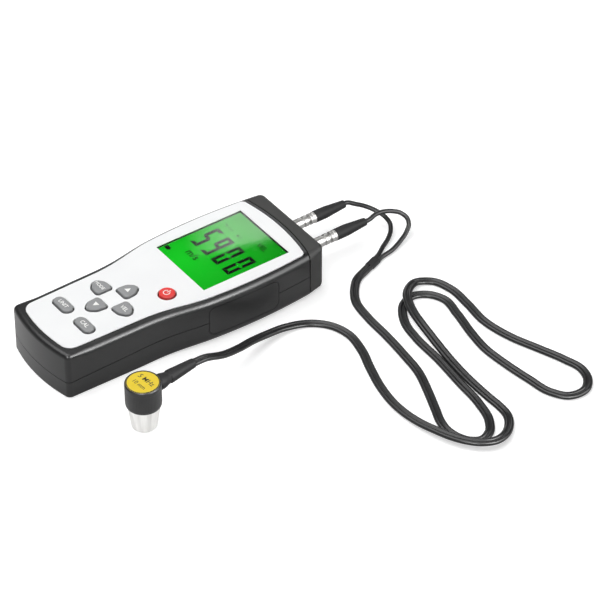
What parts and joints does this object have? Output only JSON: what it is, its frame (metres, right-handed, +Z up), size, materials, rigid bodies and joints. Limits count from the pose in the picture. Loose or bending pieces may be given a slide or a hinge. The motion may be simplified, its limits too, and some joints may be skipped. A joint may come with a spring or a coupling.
{
  "type": "ultrasonic thickness gauge",
  "caption": "Handheld ultrasonic thickness gauge with waisted case, green display, pressable keys, push-pull plugs and a probe on a flat twin cable",
  "frame": {"origin": "on the table, under the middle of the case", "axes": "+Y along the case from the keypad end to the end cap, +Z up out of the display, +X to the right of someone reading it"},
  "size_m": [0.272, 0.2915, 0.0365],
  "materials": {
    "case_plastic": "satin black moulded ABS",
    "cap_plastic": "matte dark grey moulded ABS",
    "panel_white": "smooth white moulded plastic",
    "clear_window": "clear acrylic",
    "display_glass": "green backlit liquid crystal cell",
    "diffuser": "milky light guide",
    "contact_rubber": "layered conductive rubber",
    "board_laminate": "green solder-masked glass fibre laminate",
    "chip_resin": "black moulding resin",
    "steel": "plated spring and screw steel",
    "dark_steel": "blackened screw steel",
    "key_grey": "grey keycap with printed legend",
    "key_red": "red keycap with printed legend",
    "cell_wrap": "plain shrink-wrapped steel can",
    "nickel": "bright nickel plated brass",
    "pin_brass": "gold-coloured contact pin",
    "wire_sleeve": "insulated screened wire",
    "cord_rubber": "matte black flexible PVC",
    "probe_plastic": "black, finely knurled",
    "label_yellow": "printed yellow film",
    "tip_metal": "turned bright steel",
    "delay_resin": "amber delay-line resin",
    "cork": "cork sheet",
    "ceramic": "fired piezo ceramic",
    "backing_resin": "metal-loaded epoxy"
  },
  "bodies": {
    "gauge": {"front_case": "case_plastic", "rear_case": "case_plastic", "end_cap": "cap_plastic", "face_panel": "panel_white", "side_cover": "case_plastic", "battery_door": "case_plastic", "display_window": "clear_window", "display_cell": "display_glass", "display_frame": "case_plastic", "backlight": "diffuser", "contact_strips": "contact_rubber", "main_board": "board_laminate", "board_chips": "chip_resin", "dome_switches": "steel", "board_screws": "steel", "battery_cells": "cell_wrap", "battery_springs": "steel", "battery_plates": "steel", "case_screws": "dark_steel", "socket_left": "nickel", "socket_right": "nickel", "socket_nuts": "nickel", "signal_wires": "wire_sleeve", "plug_left": "nickel", "plug_right": "nickel", "plug_pins": "pin_brass", "boot_left": "cord_rubber", "boot_right": "cord_rubber", "lead_left": "cord_rubber", "lead_right": "cord_rubber", "lead_joiner": "cord_rubber", "twin_cable": "cord_rubber", "probe_boot": "cord_rubber", "probe_housing": "probe_plastic", "probe_label": "label_yellow", "probe_tip": "tip_metal", "delay_blocks": "delay_resin", "sound_barrier": "cork", "crystals": "ceramic", "backing_blocks": "backing_resin"},
    "power_key": {"key_power": "key_red"},
    "up_key": {"key_up": "key_grey"},
    "down_key": {"key_down": "key_grey"},
    "left_key": {"key_left": "key_grey"},
    "right_key": {"key_right": "key_grey"},
    "lower_left_key": {"key_lower_left": "key_grey"},
    "lower_right_key": {"key_lower_right": "key_grey"},
    "left_sleeve": {"sleeve_left": "nickel"},
    "right_sleeve": {"sleeve_right": "nickel"}
  },
  "joints": [
    {"name": "power_key_press", "type": "slide", "parent": "gauge", "child": "power_key", "axis": [0, 0, -1], "range_m": [0, 0.0007], "stiffness_N_per_m": 1500},
    {"name": "up_key_press", "type": "slide", "parent": "gauge", "child": "up_key", "axis": [0, 0, -1], "range_m": [0, 0.0007], "stiffness_N_per_m": 1500},
    {"name": "down_key_press", "type": "slide", "parent": "gauge", "child": "down_key", "axis": [0, 0, -1], "range_m": [0, 0.0007], "stiffness_N_per_m": 1500},
    {"name": "left_key_press", "type": "slide", "parent": "gauge", "child": "left_key", "axis": [0, 0, -1], "range_m": [0, 0.0007], "stiffness_N_per_m": 1500},
    {"name": "right_key_press", "type": "slide", "parent": "gauge", "child": "right_key", "axis": [0, 0, -1], "range_m": [0, 0.0007], "stiffness_N_per_m": 1500},
    {"name": "lower_left_key_press", "type": "slide", "parent": "gauge", "child": "lower_left_key", "axis": [0, 0, -1], "range_m": [0, 0.0007], "stiffness_N_per_m": 1500},
    {"name": "lower_right_key_press", "type": "slide", "parent": "gauge", "child": "lower_right_key", "axis": [0, 0, -1], "range_m": [0, 0.0007], "stiffness_N_per_m": 1500},
    {"name": "left_sleeve_pull", "type": "slide", "parent": "gauge", "child": "left_sleeve", "axis": [0, 1, 0], "range_m": [0, 0.0012], "stiffness_N_per_m": 1500},
    {"name": "right_sleeve_pull", "type": "slide", "parent": "gauge", "child": "right_sleeve", "axis": [0, 1, 0], "range_m": [0, 0.0012], "stiffness_N_per_m": 1500}
  ]
}
